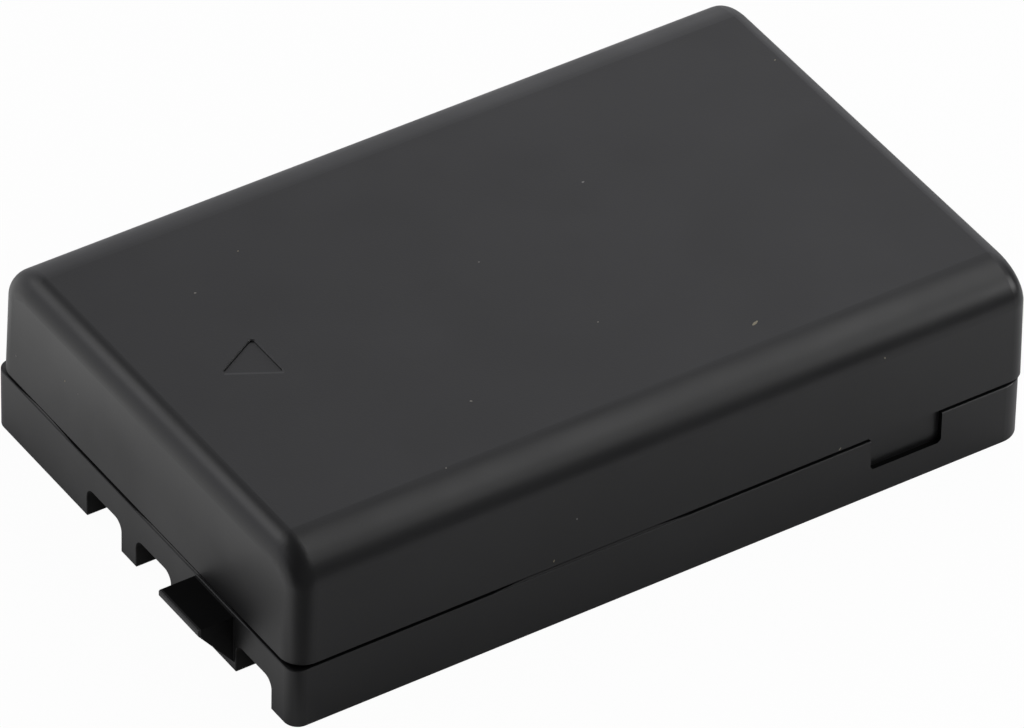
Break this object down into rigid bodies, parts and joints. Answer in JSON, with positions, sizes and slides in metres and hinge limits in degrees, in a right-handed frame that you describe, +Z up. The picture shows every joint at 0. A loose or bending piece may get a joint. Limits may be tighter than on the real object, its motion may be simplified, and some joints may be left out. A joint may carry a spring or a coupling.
{
  "type": "camera battery",
  "caption": "Flat rectangular rechargeable camera battery in black moulded plastic, with contact slots, a keying hook and a seam between its halves.",
  "frame": {"origin": "middle of the tray's flat underside", "axes": "+X from the terminal end to the plain end, -Y the front long side with the latch pocket, +Z up to the side with the triangle"},
  "size_m": [0.0577, 0.0356, 0.013],
  "materials": {
    "housing_plastic": "satin black moulded plastic, lightly handled, with a few dust specks",
    "cell_can": "drawn aluminium",
    "gasket_plastic": "moulded seal",
    "nickel": "rolled nickel",
    "contact_gold": "gold plated",
    "chip_body": "moulded package",
    "chip_ceramic": "fired ceramic",
    "board_laminate": "green solder mask on glass laminate",
    "insulating_paper": "insulating paper",
    "adhesive_tape": "double sided tape",
    "foam": "closed cell foam"
  },
  "bodies": {
    "root": {"upper_cover": "housing_plastic", "lower_tray": "housing_plastic", "cell_lower_can": "cell_can", "cell_upper_can": "cell_can", "cell_lower_gasket": "gasket_plastic", "cell_upper_gasket": "gasket_plastic", "cell_lower_pole": "nickel", "cell_upper_pole": "nickel", "series_link": "nickel", "positive_strip": "nickel", "negative_strip": "nickel", "midpoint_strip": "nickel", "terminal_positive": "contact_gold", "terminal_sense": "contact_gold", "terminal_negative": "contact_gold", "control_chip": "chip_body", "switch_chip": "chip_body", "chip_resistors": "chip_body", "chip_fuse": "chip_body", "chip_capacitors": "chip_ceramic", "thermistor": "chip_ceramic", "protection_board": "board_laminate", "lid_insulator": "insulating_paper", "cell_tape": "adhesive_tape", "cover_pad": "foam", "end_pad": "foam"}
  },
  "joints": []
}
